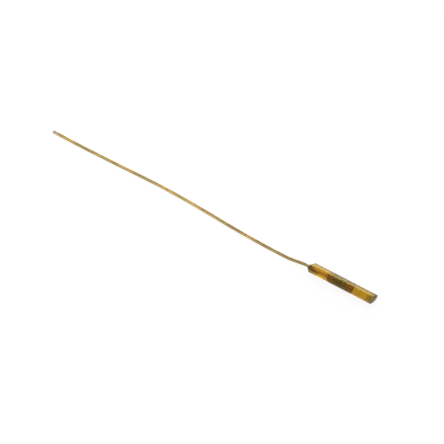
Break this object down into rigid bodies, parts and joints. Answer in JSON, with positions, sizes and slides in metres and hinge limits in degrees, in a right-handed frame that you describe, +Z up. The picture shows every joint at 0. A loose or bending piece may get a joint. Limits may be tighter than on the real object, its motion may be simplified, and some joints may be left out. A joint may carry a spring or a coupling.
{
  "type": "ntc temperature sensor",
  "caption": "Miniature NTC temperature sensor: a coated thermistor chip potted in a thin amber polyimide tube, on a parallel pair of fine enamelled wires.",
  "frame": {"origin": "centre of the tube's tip, on the tube's axis", "axes": "+X out of the tip along the tube, +Z up from the surface that the sensor lies on"},
  "size_m": [0.0178, 0.0006, 0.0006],
  "materials": {
    "polyimide": "clear amber film, glossy",
    "epoxy": "clear amber resin",
    "coating": "dark brown dipped resin",
    "chip_ceramic": "sintered oxide, matt",
    "electrode_silver": "fired silver, matt",
    "solder": "solder, satin",
    "wire_nickel": "drawn nickel, satin",
    "wire_enamel": "golden brown enamel, satin"
  },
  "bodies": {
    "root": {"casing_tube": "polyimide", "epoxy_fill": "epoxy", "chip_coating": "coating", "ntc_chip": "chip_ceramic", "electrode_a": "electrode_silver", "electrode_b": "electrode_silver", "solder_joint_a": "solder", "solder_joint_b": "solder", "lead_wire_a": "wire_nickel", "lead_wire_b": "wire_nickel", "lead_enamel_a": "wire_enamel", "lead_enamel_b": "wire_enamel"}
  },
  "joints": []
}
